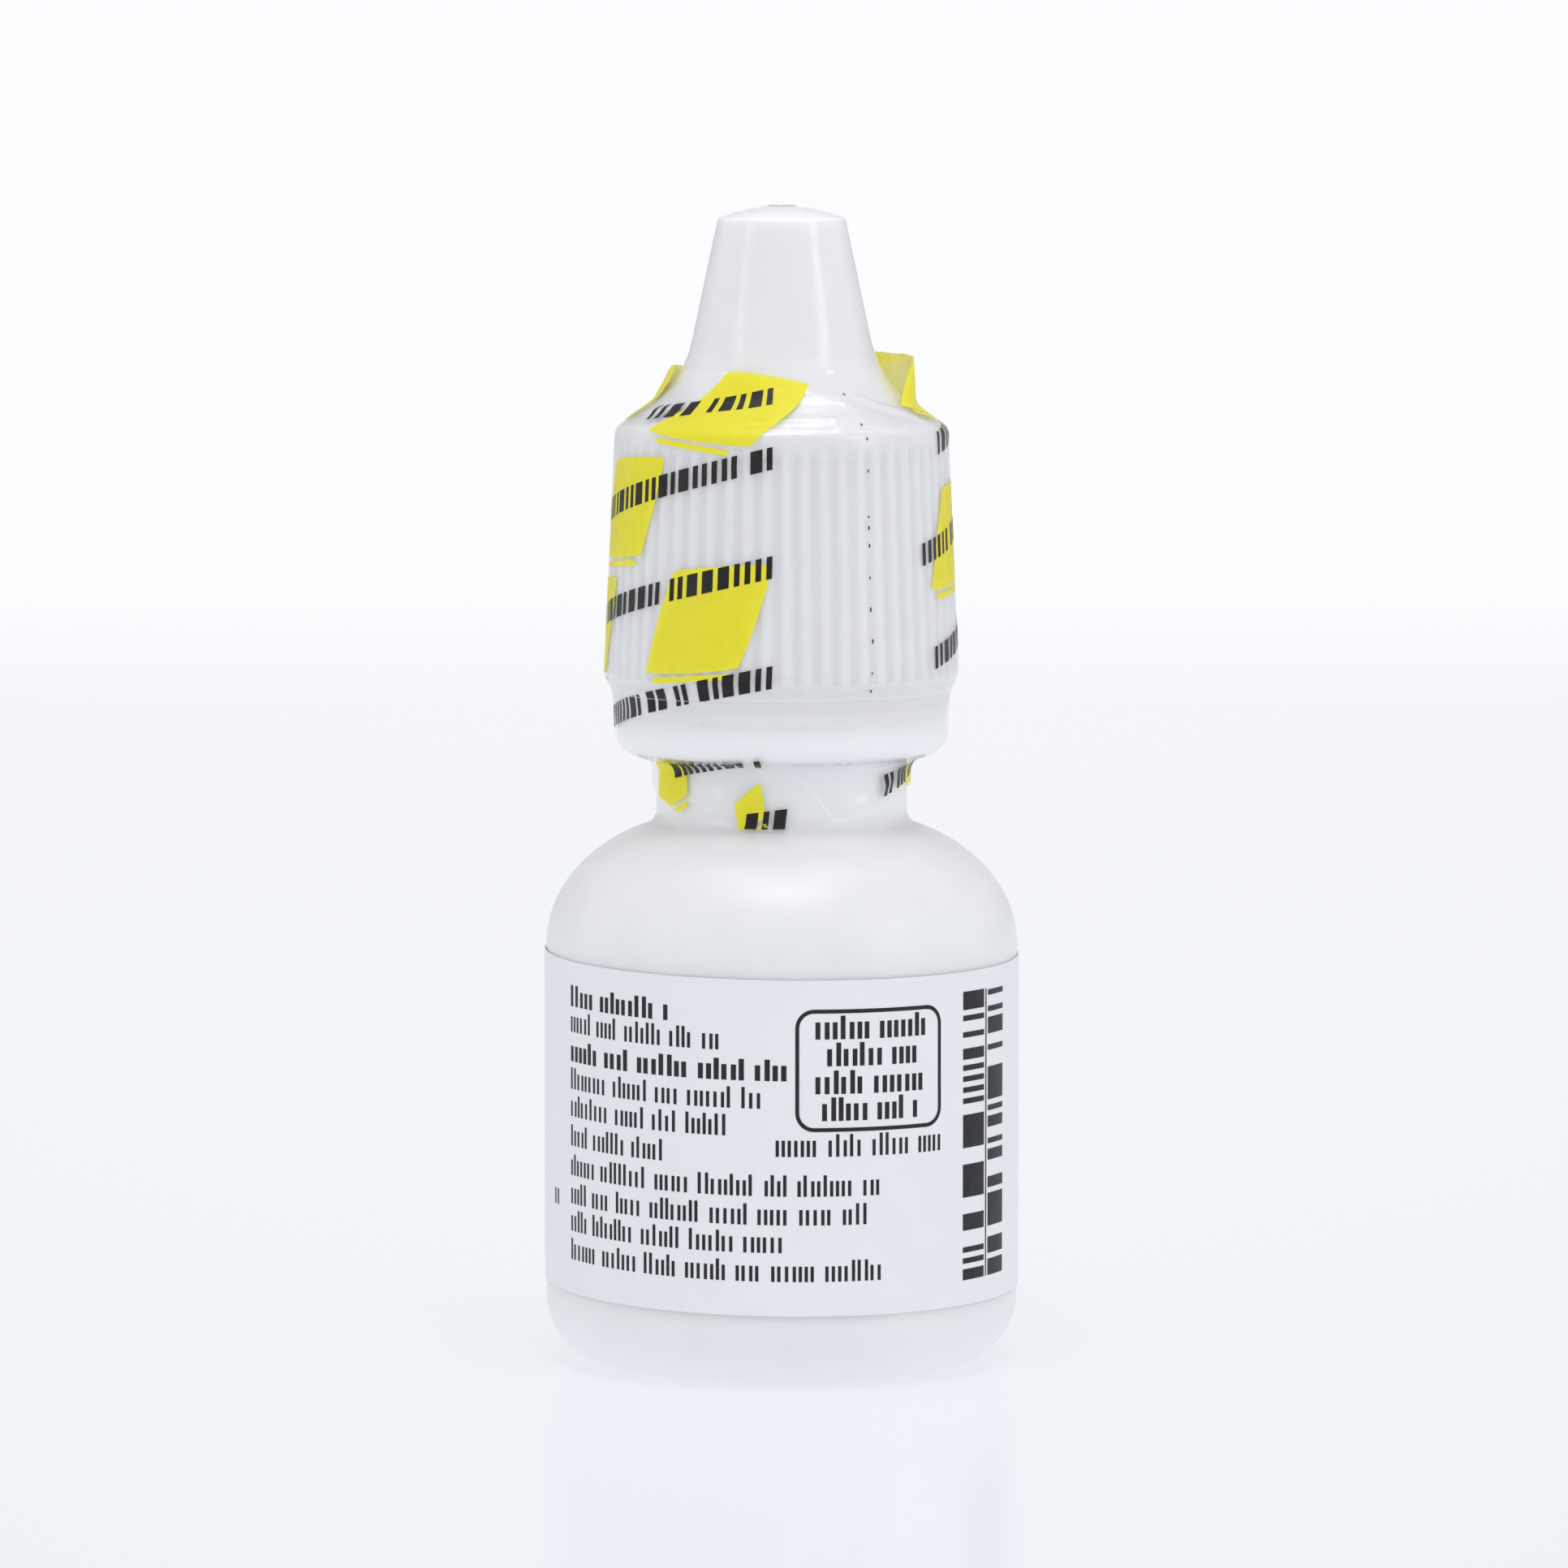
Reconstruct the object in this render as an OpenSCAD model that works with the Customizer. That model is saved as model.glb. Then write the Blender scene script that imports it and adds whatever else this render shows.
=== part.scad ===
// Squeeze bottle for eye drops: a soft bottle, a pressed-in dropper tip, a ribbed screw cap with a spire,
// a shrunk neckband and a film label. Millimetres, +Z up, origin at the centre of the base on the table.

/* [Bottle body] */
// Outside diameter of the bare body
body_d = 24.1; // [20:0.1:34]
// Height of the straight wall, from the table to where the shoulder starts
body_h = 21.35; // [14:0.05:36]
// Wall thickness of the blown body
body_wall = 0.9; // [0.6:0.1:1.3]
// Height of the rounded shoulder
shoulder_h = 6.65; // [4:0.05:10]
// How far inside the neck's wall the shoulder's curve has its centre
shoulder_tuck = 2.55; // [2:0.05:3]
// Radius of the heel round the base
heel_r = 3.25; // [2:0.25:4]
// Width of the flat ring that the bottle stands on
foot_w = 1.15; // [0.8:0.05:2]
// Depth of the pushed-up middle of the base
push_up = 0.8; // [0.4:0.1:1.4]

/* [Neck and finish] */
// Outside diameter of the neck between the shoulder and the bead
neck_d = 12.8; // [12:0.1:13.2]
// Bare height from the shoulder's top to the bead's underside
neck_rise = 3.2; // [2:0.05:5]
// Fillet between the shoulder and the neck
neck_fillet = 0.8; // [0.2:0.05:0.8]
// Diameter of the transfer bead
bead_d = 16.84; // [16:0.04:17.4]
// Height of the transfer bead
bead_h = 2.4; // [2:0.05:4]
// Radius of the bead's lower edge
bead_round = 1.2; // [0.6:0.05:1.3]
// Outside diameter of the finish below its thread
finish_d = 13; // [12.4:0.1:13.4]
// Height of the finish, from the bead's top to the land
finish_h = 13.6; // [12:0.1:15]
// Outside diameter over the thread that the cap's bore clears
thread_d = 14.7; // [14.4:0.1:15]
// Bore of the neck that holds the dropper tip
bore_d = 10; // [9:0.1:10.6]

/* [Dropper tip] */
// Thickness of the flange that seats on the land
flange_t = 0.7; // [0.5:0.05:1.1]
// How far the flange's rim lies inside the finish's rim
flange_inset = 0.2; // [0.1:0.05:0.5]
// Length of the plug in the neck
plug_len = 6.6; // [5:0.1:9]
// Taper at the plug's foot that leads it into the bore
plug_lead = 0.35; // [0.2:0.05:0.5]
// Wall thickness of the plug
plug_wall = 0.9; // [0.6:0.05:1.2]
// How far the plug's sealing ribs stand out from its wall
seal_rib = 0.15; // [0.1:0.01:0.25]
// Diameter of the nozzle where it leaves the flange
nozzle_root_d = 6.8; // [5.6:0.1:7.2]
// Diameter of the nozzle at its outlet
nozzle_tip_d = 3.8; // [3.4:0.1:4]
// Wall thickness of the nozzle
nozzle_wall = 1; // [0.8:0.05:1.1]
// Diameter of the metering hole
orifice_d = 0.6; // [0.4:0.05:1]
// Length of the metering hole
orifice_len = 0.9; // [0.5:0.1:1.5]
// Diameter of the well that shapes the drop
well_d = 2.2; // [1.8:0.1:2.5]
// Depth of that well
well_depth = 1.2; // [1:0.1:1.6]

/* [Screw cap] */
// Height of the spire's top above the cap's ceiling
spire_h = 11.18; // [9:0.02:16]
// Diameter of the spire at its rim
spire_rim_d = 6.5; // [6.2:0.1:7.5]
// Rise of the low dome on the spire
dome_rise = 0.63; // [0.2:0.01:1]
// Radius of the rim between spire and dome
rim_round = 0.35; // [0.1:0.05:0.6]
// Draft of the spire's side
spire_draft = 12; // [9:0.5:13]
// Wall thickness of the spire
spire_wall = 0.95; // [0.8:0.05:1.1]
// Thickness of the spire's end under the dome
spire_end = 0.9; // [0.6:0.1:1.4]
// Slope of the cap's shoulder
cap_slope = 35; // [25:1:40]
// Fillet between the cap's shoulder and the spire
cap_fillet = 5.5; // [2:0.25:6]
// Radius of the cap's top corner
cap_corner = 0.5; // [0.3:0.05:0.8]
// How far the cap's top corner lies below its ceiling
corner_drop = 0.2; // [0:0.02:0.6]
// Wall thickness of the skirt at its top, over the ribs
skirt_wall = 0.85; // [0.75:0.05:1.2]
// Draft of the skirt's outside
skirt_draft = 2.6; // [1:0.1:3.5]
// Height of the plain band under the ribs
band_h = 0.9; // [0.6:0.05:1.6]
// Inward slope of that band
band_slope = 25; // [10:1:30]
// Chamfer round the mouth of the cap's bore
mouth_chamfer = 0.3; // [0.2:0.05:0.4]
// Height of the bevel between the cap's bore and its ceiling
ceiling_bevel = 1.3; // [1:0.1:1.6]
// How far the sealing pin reaches into the nozzle's well
pin_depth = 0.8; // [0.4:0.05:1]

/* [Grip ribs] */
// Number of ribs round the skirt
rib_count = 55; // [36:1:64]
// Depth of the flutes between the ribs
flute_depth = 0.22; // [0.1:0.02:0.3]
// Radius of a flute
flute_r = 0.32; // [0.3:0.02:0.4]

/* [Neckband] */
// Thickness of the shrunk film
film_t = 0.08; // [0.05:0.01:0.15]
// Height of the film's top edge above the cap's ceiling
film_rise = 2.93; // [1.5:0.01:3]
// Lean of the film where it leaves the cap's shoulder
film_lean = 20; // [14:1:30]
// Radius of that bend in the film
film_bend = 3; // [2:0.25:3.5]
// How far the film's top edge stands off the cap
film_standoff = 0.22; // [0.1:0.02:0.5]
// Bare neck under the film's lower hem
hem_rise = 0.5; // [0.3:0.05:1.5]
// How far the loose flap rises above the film's top edge
flap_h = 0.7; // [0.3:0.1:1.5]
// Distance of the loose flap from the axis
flap_r = 6.7; // [6.4:0.05:7]
// Direction of the flap's middle, from the front towards the right
flap_at = 104; // [0:1:359]
// Angle that the flap takes round the cap
flap_span = 100; // [20:1:120]

/* [Label] */
// Thickness of the label
label_t = 0.09; // [0.06:0.01:0.15]
// Height of the label's lower edge above the heel's curve
label_foot = 0.65; // [0.2:0.05:1.5]
// How far the label's upper edge lies below the shoulder
label_head = 0.55; // [0:0.05:4]
// Width of the bare seam at the back of the label
label_seam = 4; // [1:0.5:10]

/* [Fits] */
// Gap between a film and what it wraps
wrap_gap = 0.04; // [0.02:0.01:0.06]
// Radial gap between the loose ring of film and the bottle
ring_gap = 0.06; // [0.02:0.01:0.1]
// Gap between the film's ring and the cap's lower edge
tear_gap = 0.08; // [0.05:0.01:0.2]
// Radial gap between the plug's ribs and the neck's bore
plug_gap = 0.02; // [0.01:0.01:0.05]
// Gap between the cap's seals and the dropper tip
seal_gap = 0.03; // [0.01:0.01:0.1]
// Radial gap between the bottle's thread and the cap's bore
thread_gap = 0.2; // [0.1:0.05:0.3]
// Gap between the bead and the cap's lower edge
skirt_gap = 0.8; // [0.4:0.05:1.5]
// Room in the cap above the nozzle
nozzle_room = 0.7; // [0.5:0.05:1]

/* [Hidden] */
$fn = 96;
arc_step = 7.5;

body_r = body_d / 2;
neck_r = neck_d / 2;
bead_r = bead_d / 2;
finish_r = finish_d / 2;
bore_r = bore_d / 2;

foot_inner_r = body_r - heel_r - foot_w;
shoulder_centre_r = neck_r - shoulder_tuck;
shoulder_reach = body_r - shoulder_centre_r;
bead_z = body_h + shoulder_h + neck_rise;
bead_top_z = bead_z + bead_h;
land_z = bead_top_z + finish_h;

flange_z = land_z + flange_t;
ceiling_z = flange_z + seal_gap;
skirt_z = bead_top_z + skirt_gap;
spire_top_z = ceiling_z + spire_h;
rim_z = spire_top_z - dome_rise;
spire_inner_z = rim_z - spire_end;
nozzle_z = spire_inner_z - nozzle_room;

film_top_z = ceiling_z + film_rise;
hem_z = body_h + shoulder_h + hem_rise;

// Small radii and tapers on the moulded edges
bead_edge = 0.15;
bead_taper = 0.06;
land_round = 0.2;
flange_round = 0.15;
nozzle_fillet = 0.6;
nozzle_round = 0.4;
well_lip = 0.1;
channel_round = 0.4;
pin_round = 0.15;
ceiling_round = 0.4;
seal_rim = 0.1;

flange_r = finish_r - flange_inset;
plug_r = bore_r - plug_gap - seal_rib;
plug_z = land_z - plug_len;
nozzle_root_r = nozzle_root_d / 2;
nozzle_tip_r = nozzle_tip_d / 2;
well_r = well_d / 2;
orifice_r = orifice_d / 2;
channel_z = nozzle_z - well_depth - orifice_len;
channel_r = nozzle_tip_r + (nozzle_root_r - nozzle_tip_r) * (nozzle_z - channel_z) / (nozzle_z - flange_z)
    - nozzle_wall;

// The pin follows the well's taper at the sealing gap
well_taper = (well_r - orifice_r) / well_depth;
pin_r = well_r - seal_gap * sqrt(1 + well_taper * well_taper);
pin_tip_r = pin_r - well_taper * pin_depth;
pin_z = nozzle_z - pin_depth;

// A straight side of an outline is the angle of its normal and its distance from the origin
function side(normal, point) = [normal, point * [cos(normal), sin(normal)]];
// The point at a height on a side that is moved outwards
function at_height(one, z, out = 0) = [(one[1] + out - z * sin(one[0])) / cos(one[0]), z];
// The point at a radius on a side that is moved outwards
function at_radius(one, r, out = 0) = [r, (one[1] + out - r * cos(one[0])) / sin(one[0])];
// The point where two sides meet once both are moved outwards
function meet(one, other, out = 0) =
    let (d1 = one[1] + out, d2 = other[1] + out, turn = sin(other[0] - one[0]))
    [(d1 * sin(other[0]) - d2 * sin(one[0])) / turn, (d2 * cos(one[0]) - d1 * cos(other[0])) / turn];

// The four straight sides of the cap's outside
spire_rim_r = spire_rim_d / 2;
cap_bore_r = thread_d / 2 + thread_gap;
cap_corner_at = [cap_bore_r + skirt_wall, ceiling_z - corner_drop];
widest_z = skirt_z + band_h;
spire_side = side(spire_draft, [spire_rim_r, rim_z]);
shoulder_side = side(90 - cap_slope, cap_corner_at);
skirt_side = side(skirt_draft, cap_corner_at);
band_side = side(-band_slope, at_height(skirt_side, widest_z));

// A corner of an outline with the radius that rounds it
function corner(point, round = 0) = [point[0], point[1], round];
function flat(point) = [point[0], point[1]];
function unit(v) = v / norm(v);
function last(list) = list[len(list) - 1];
function without_last(list) = [for (i = [0:1:len(list) - 2]) list[i]];
function reversed(list) = [for (i = [len(list) - 1:-1:0]) list[i]];

// The arc that rounds the corner p between its neighbours a and b
function corner_arc(a, p, b, round) =
    let (u = unit(a - p), v = unit(b - p), half = acos(u * v) / 2,
         centre = p + unit(u + v) * round / sin(half),
         from = p + u * round / tan(half) - centre,
         to = p + v * round / tan(half) - centre,
         turn = atan2(cross(from, to), from * to),
         steps = max(2, ceil(abs(turn) / arc_step)),
         start = atan2(from[1], from[0]))
    [for (i = [0:steps]) centre + round * [cos(start + turn * i / steps), sin(start + turn * i / steps)]];

// A closed outline from its corners, with each corner rounded by its own radius
function rounded(corners) =
    let (n = len(corners))
    [for (i = [0:n - 1])
        let (p = flat(corners[i]), round = corners[i][2],
             before = flat(corners[(i + n - 1) % n]), after = flat(corners[(i + 1) % n]))
        each round == 0 ? [p] : corner_arc(before, p, after, round)];

// Points on a quarter of an oval, from its side towards its top
function oval(centre, reach, rise, top_angle) =
    let (steps = ceil(top_angle / arc_step))
    [for (i = [0:steps])
        let (a = top_angle * i / steps)
        corner([centre[0] + reach * cos(a), centre[1] + rise * sin(a)])];

module revolve(outline) {
    rotate_extrude() polygon(outline);
}

// Part of a turn about the axis, with its middle at an angle from the front towards the right
module sector(middle, span) {
    rotate([0, 0, middle - 90 - span / 2]) rotate_extrude(angle = span) children();
}

module bottle() {
    slope_w = push_up * 3;
    base_round = push_up * 2;
    foot_round = 0.3;
    floor_r = foot_inner_r - slope_w;
    inner_r = body_r - body_wall;
    outside = oval([shoulder_centre_r, body_h], shoulder_reach, shoulder_h,
        acos(shoulder_tuck / shoulder_reach));
    inside_reach = shoulder_reach - body_wall;
    inside = oval([shoulder_centre_r, body_h], inside_reach, shoulder_h - body_wall,
        acos((bore_r - shoulder_centre_r) / inside_reach));
    color([0.90, 0.91, 0.93])
    revolve(rounded(concat(
        [corner([0, push_up]), corner([floor_r, push_up], base_round)],
        [corner([foot_inner_r, 0], foot_round), corner([body_r, 0], heel_r)],
        without_last(outside),
        [corner(last(outside), neck_fillet), corner([neck_r, bead_z], bead_edge)],
        [corner([bead_r, bead_z], bead_round), corner([bead_r - bead_taper, bead_top_z], bead_edge)],
        [corner([finish_r, bead_top_z], bead_edge), corner([finish_r, land_z], land_round)],
        [corner([bore_r, land_z], land_round)],
        reversed(inside),
        [corner([inner_r, body_wall], heel_r - body_wall), corner([foot_inner_r, body_wall], foot_round)],
        [corner([floor_r, body_wall + push_up], base_round), corner([0, body_wall + push_up])])));
}

// The plug's outside, from its foot to the flange, with a sealing rib at each third of its length
function plug_side() =
    let (rib_h = 0.45)
    concat(
        [corner([plug_r - plug_lead, plug_z]), corner([plug_r, plug_z + 2 * plug_lead])],
        [for (i = [1:2], at = [[0, -rib_h], [seal_rib, -rib_h / 3], [seal_rib, rib_h / 3], [0, rib_h]])
            corner([plug_r + at[0], plug_z + plug_len * i / 3 + at[1]])],
        [corner([plug_r, land_z])]);

module dropper_tip() {
    color([0.92, 0.93, 0.94])
    revolve(rounded(concat(
        plug_side(),
        [corner([flange_r, land_z]), corner([flange_r, flange_z], flange_round)],
        [corner([nozzle_root_r, flange_z], nozzle_fillet), corner([nozzle_tip_r, nozzle_z], nozzle_round)],
        [corner([well_r, nozzle_z], well_lip), corner([orifice_r, nozzle_z - well_depth])],
        [corner([orifice_r, channel_z]), corner([channel_r, channel_z], channel_round)],
        [corner([nozzle_root_r - nozzle_wall, flange_z], channel_round)],
        [corner([plug_r - plug_wall, land_z - plug_wall], channel_round)],
        [corner([plug_r - plug_wall, plug_z])])));
}

// The cap's outside from its lower edge to the spire's rim, or the same moved outwards
function cap_side(out = 0) =
    [corner(at_height(band_side, skirt_z, out)),
     corner(meet(band_side, skirt_side, out)),
     corner(meet(skirt_side, shoulder_side, out), cap_corner + out),
     corner(meet(shoulder_side, spire_side, out), cap_fillet - out),
     corner(at_height(spire_side, rim_z, out), out > 0 ? 0 : rim_round)];

// The low dome, from beside its rim to the axis
function dome() =
    let (dome_r = (pow(spire_rim_r, 2) + pow(dome_rise, 2)) / (2 * dome_rise), steps = 4)
    [for (i = [steps - 1:-1:0])
        let (a = asin(spire_rim_r / dome_r) * i / steps)
        corner([dome_r * sin(a), spire_top_z - dome_r * (1 - cos(a))])];

// The cap's inside, from the end of the sealing pin down to the mouth
function cap_inside() =
    [corner([0, pin_z]), corner([pin_tip_r, pin_z], pin_round), corner([pin_r, nozzle_z]),
     corner([pin_r, spire_inner_z], pin_round),
     corner(at_height(spire_side, spire_inner_z, -spire_wall), spire_end / 2),
     corner(at_height(spire_side, ceiling_z, -spire_wall), ceiling_round),
     corner([flange_r + seal_rim, ceiling_z]),
     corner([cap_bore_r, ceiling_z - ceiling_bevel]),
     corner([cap_bore_r, skirt_z + mouth_chamfer]),
     corner([cap_bore_r + mouth_chamfer, skirt_z])];

// One flute between two grip ribs, along the drafted skirt and out through the shoulder
module flute() {
    foot = at_height(skirt_side, widest_z, flute_r - flute_depth);
    translate([foot[0], 0, foot[1]]) rotate([0, -skirt_draft, 0])
        cylinder(r = flute_r, h = cap_corner_at[1] - widest_z + 2 * cap_corner, $fn = 24);
}

module screw_cap() {
    color([0.94, 0.94, 0.93])
    difference() {
        revolve(rounded(concat(cap_side(), dome(), cap_inside())));
        for (i = [0:rib_count - 1]) rotate([0, 0, 360 * i / rib_count]) flute();
    }
}

// The film's way over the cap, moved outwards, up to its top edge
function film_path(top_side, out) =
    [corner(at_height(band_side, skirt_z, out)),
     corner(meet(band_side, skirt_side, out)),
     corner(meet(skirt_side, shoulder_side, out), cap_corner + out),
     corner(meet(shoulder_side, top_side, out), film_bend - out),
     corner(at_height(top_side, film_top_z, out))];

module film_section(top_side) {
    polygon(rounded(concat(film_path(top_side, wrap_gap + film_t), reversed(film_path(top_side, wrap_gap)))));
}

module neckband_sleeve() {
    fillet_centre = meet(shoulder_side, spire_side, cap_fillet);
    cap_r = fillet_centre[0] - sqrt(pow(cap_fillet, 2) - pow(fillet_centre[1] - film_top_z, 2));
    film_side = side(film_lean, [cap_r + film_standoff, film_top_z]);
    flap_outer_r = flap_r + film_t;
    flap_z = film_top_z + flap_h;
    color([0.88, 0.86, 0.45, 0.6])
    union() {
        difference() {
            rotate_extrude() film_section(film_side);
            sector(flap_at, flap_span) translate([0, skirt_z]) square([flap_r + film_t / 2, flap_z]);
        }
        sector(flap_at, flap_span) polygon([
            at_radius(shoulder_side, flap_r, wrap_gap), at_radius(shoulder_side, flap_outer_r, wrap_gap),
            [flap_outer_r, flap_z], [flap_r, flap_z]]);
    }
}

module neckband_ring() {
    inner = [neck_r + ring_gap, bead_z - ring_gap, bead_r + ring_gap];
    top_z = skirt_z - tear_gap;
    color([0.88, 0.86, 0.45, 0.6])
    revolve(rounded([
        corner([inner[0], hem_z]), corner([inner[0] + film_t, hem_z]),
        corner([inner[0] + film_t, inner[1] - film_t]),
        corner([inner[2] + film_t, inner[1] - film_t], bead_round + ring_gap + film_t),
        corner([inner[2] + film_t, top_z]), corner([inner[2], top_z]),
        corner([inner[2], inner[1]], bead_round + ring_gap), corner([inner[0], inner[1]])]));
}

module label() {
    color([0.95, 0.95, 0.95, 0.7])
    sector(0, 360 - label_seam / body_r * 180 / PI)
        translate([body_r + wrap_gap, heel_r + label_foot])
            square([label_t, body_h - label_head - heel_r - label_foot]);
}

bottle();
dropper_tip();
screw_cap();
neckband_sleeve();
neckband_ring();
label();
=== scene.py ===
import math
import random

import bpy
import numpy as np
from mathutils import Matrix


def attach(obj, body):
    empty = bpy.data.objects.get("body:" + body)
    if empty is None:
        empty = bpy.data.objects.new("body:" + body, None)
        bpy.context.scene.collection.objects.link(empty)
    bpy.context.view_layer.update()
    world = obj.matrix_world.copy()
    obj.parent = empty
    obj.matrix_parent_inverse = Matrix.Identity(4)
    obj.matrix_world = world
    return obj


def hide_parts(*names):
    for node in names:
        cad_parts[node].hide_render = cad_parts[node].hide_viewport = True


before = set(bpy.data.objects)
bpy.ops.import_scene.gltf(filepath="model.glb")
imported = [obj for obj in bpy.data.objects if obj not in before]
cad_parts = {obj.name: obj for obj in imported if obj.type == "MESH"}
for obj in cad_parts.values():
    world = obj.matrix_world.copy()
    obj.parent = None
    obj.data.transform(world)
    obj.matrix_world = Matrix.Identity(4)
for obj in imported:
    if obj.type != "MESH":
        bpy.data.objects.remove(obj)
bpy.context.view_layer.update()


# The bottle: one blow moulding in soft natural-white LDPE with a wall of about 0.9 mm. The round body, shoulder,
# neck, transfer bead and finish come out of one split mould, whose halves leave a fine parting line up both
# sides and a pinched-off seam across the pushed-up base. The soft wall is never quite even.

mm = 0.001


def moulded_outline(corners, fine_deg):
    """The outline through corners (r, z, radius), with each corner rounded by its own radius."""
    points = []
    for i, (r, z, radius) in enumerate(corners):
        if radius == 0:
            points.append((r, z))
            continue
        before, after = corners[i - 1], corners[(i + 1) % len(corners)]
        u = (before[0] - r, before[1] - z)
        v = (after[0] - r, after[1] - z)
        lu, lv = math.hypot(*u), math.hypot(*v)
        u, v = (u[0] / lu, u[1] / lu), (v[0] / lv, v[1] / lv)
        half = math.acos(max(-1.0, min(1.0, u[0] * v[0] + u[1] * v[1]))) / 2
        reach = radius / math.tan(half)
        mid = (u[0] + v[0], u[1] + v[1])
        lm = math.hypot(*mid)
        centre = (r + mid[0] / lm * radius / math.sin(half), z + mid[1] / lm * radius / math.sin(half))
        start = (r + u[0] * reach - centre[0], z + u[1] * reach - centre[1])
        end = (r + v[0] * reach - centre[0], z + v[1] * reach - centre[1])
        turn = math.atan2(start[0] * end[1] - start[1] * end[0], start[0] * end[0] + start[1] * end[1])
        steps = max(2, math.ceil(abs(math.degrees(turn)) / fine_deg))
        for k in range(steps + 1):
            a = math.atan2(start[1], start[0]) + turn * k / steps
            points.append((centre[0] + radius * math.cos(a), centre[1] + radius * math.sin(a)))
    return points


def fill_straights(points, longest):
    """The same outline with no stretch longer than longest, so that the wall can waver between its corners."""
    out = [points[0]]
    for a, b in zip(points, points[1:]):
        parts = max(1, math.ceil(math.hypot(b[0] - a[0], b[1] - a[1]) / longest))
        out += [(a[0] + (b[0] - a[0]) * k / parts, a[1] + (b[1] - a[1]) * k / parts) for k in range(1, parts + 1)]
    return out


def new_piece(name, vertices, faces, material, sharp_deg):
    """An object from vertices in mm, smooth but for edges sharper than sharp_deg."""
    mesh = bpy.data.meshes.new(name)
    mesh.from_pydata((np.asarray(vertices) * mm).tolist(), [], faces)
    mesh.materials.append(material)
    mesh.validate()
    mesh.shade_smooth()
    mesh.set_sharp_from_angle(angle=math.radians(sharp_deg))
    piece = bpy.data.objects.new(name, mesh)
    bpy.context.scene.collection.objects.link(piece)
    return piece


def turned(name, outline, around, material, waver):
    """A closed outline from the axis round to the axis, turned about the axis. waver moves a point of the wall."""
    on_axis = 1e-6
    rings = [p for p in outline if p[0] > on_axis]
    vertices = [(0.0, 0.0, outline[0][1]), (0.0, 0.0, outline[-1][1])]
    for r, z in rings:
        for k in range(around):
            a = 2 * math.pi * k / around
            rr, zz = waver(r, z, a)
            vertices.append((rr * math.cos(a), rr * math.sin(a), zz))
    faces = []
    for i in range(len(rings) - 1):
        for k in range(around):
            k2 = (k + 1) % around
            a, b = 2 + i * around, 2 + (i + 1) * around
            faces.append((a + k, a + k2, b + k2, b + k))
    last = 2 + (len(rings) - 1) * around
    for k in range(around):
        k2 = (k + 1) % around
        faces.append((0, 2 + k2, 2 + k))
        faces.append((1, last + k, last + k2))
    return new_piece(name, vertices, faces, material, 35.0)


def shader(name):
    """A new node material, with its tree and its Principled node."""
    material = bpy.data.materials.new(name)
    material.use_nodes = True
    tree = material.node_tree
    return material, tree, tree.nodes["Principled BSDF"]


def feed(tree, socket, value):
    """Another node's output linked into a socket, or a plain number or colour set on it."""
    if isinstance(value, bpy.types.NodeSocket):
        tree.links.new(value, socket)
    else:
        socket.default_value = value


def own_axes(tree, coordinates="Object"):
    """Where a point lies in the object's own coordinates, as outputs X, Y and Z."""
    place = tree.nodes.new("ShaderNodeTexCoord")
    axes = tree.nodes.new("ShaderNodeSeparateXYZ")
    tree.links.new(place.outputs[coordinates], axes.inputs["Vector"])
    return axes.outputs


def cloudy(tree, scale, detail, stretch=(1, 1, 1)):
    """Soft noise through the solid, in the object's own coordinates."""
    place = tree.nodes.new("ShaderNodeTexCoord")
    mapping = tree.nodes.new("ShaderNodeMapping")
    mapping.inputs["Scale"].default_value = stretch
    noise = tree.nodes.new("ShaderNodeTexNoise")
    noise.inputs["Scale"].default_value = scale
    noise.inputs["Detail"].default_value = detail
    noise.inputs["Roughness"].default_value = 0.55
    tree.links.new(place.outputs["Object"], mapping.inputs["Vector"])
    tree.links.new(mapping.outputs["Vector"], noise.inputs["Vector"])
    return noise.outputs["Fac"]


def between(tree, factor, low, high, out_low, out_high):
    """A factor from low to high, read as a number from out_low to out_high."""
    reading = tree.nodes.new("ShaderNodeMapRange")
    reading.inputs["From Min"].default_value = low
    reading.inputs["From Max"].default_value = high
    reading.inputs["To Min"].default_value = out_low
    reading.inputs["To Max"].default_value = out_high
    tree.links.new(factor, reading.inputs["Value"])
    return reading.outputs["Result"]


def two_tones(tree, factor, one, other):
    """A colour that goes from one to other with the factor. Each is a colour or another node's output."""
    blend = tree.nodes.new("ShaderNodeMix")
    blend.data_type = "RGBA"
    tree.links.new(factor, blend.inputs["Factor"])
    for place, tone in (("A", one), ("B", other)):
        feed(tree, blend.inputs[place], (*tone, 1) if isinstance(tone, tuple) else tone)
    return blend.outputs["Result"]


def clouded(tree, scale, one, other):
    """Two tones of one colour that drift into each other in soft clouds."""
    return two_tones(tree, between(tree, cloudy(tree, scale, 2.0), 0.35, 0.65, 0.0, 1.0), one, other)


def grain(tree, height, depth, strength):
    """A bump from a height that reads 0 to 1 over a depth in metres."""
    bump = tree.nodes.new("ShaderNodeBump")
    bump.inputs["Strength"].default_value = strength
    bump.inputs["Distance"].default_value = depth
    tree.links.new(height, bump.inputs["Height"])
    return bump.outputs["Normal"]


def lit_inside(plastic, ior, share, tint, reach_mm):
    """Light that goes into a plastic and spreads in it: the share that does, its tint and how far it reaches."""
    plastic.inputs["IOR"].default_value = ior
    plastic.inputs["Subsurface Weight"].default_value = share
    plastic.inputs["Subsurface Radius"].default_value = tint
    plastic.inputs["Subsurface Scale"].default_value = reach_mm * mm


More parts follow.
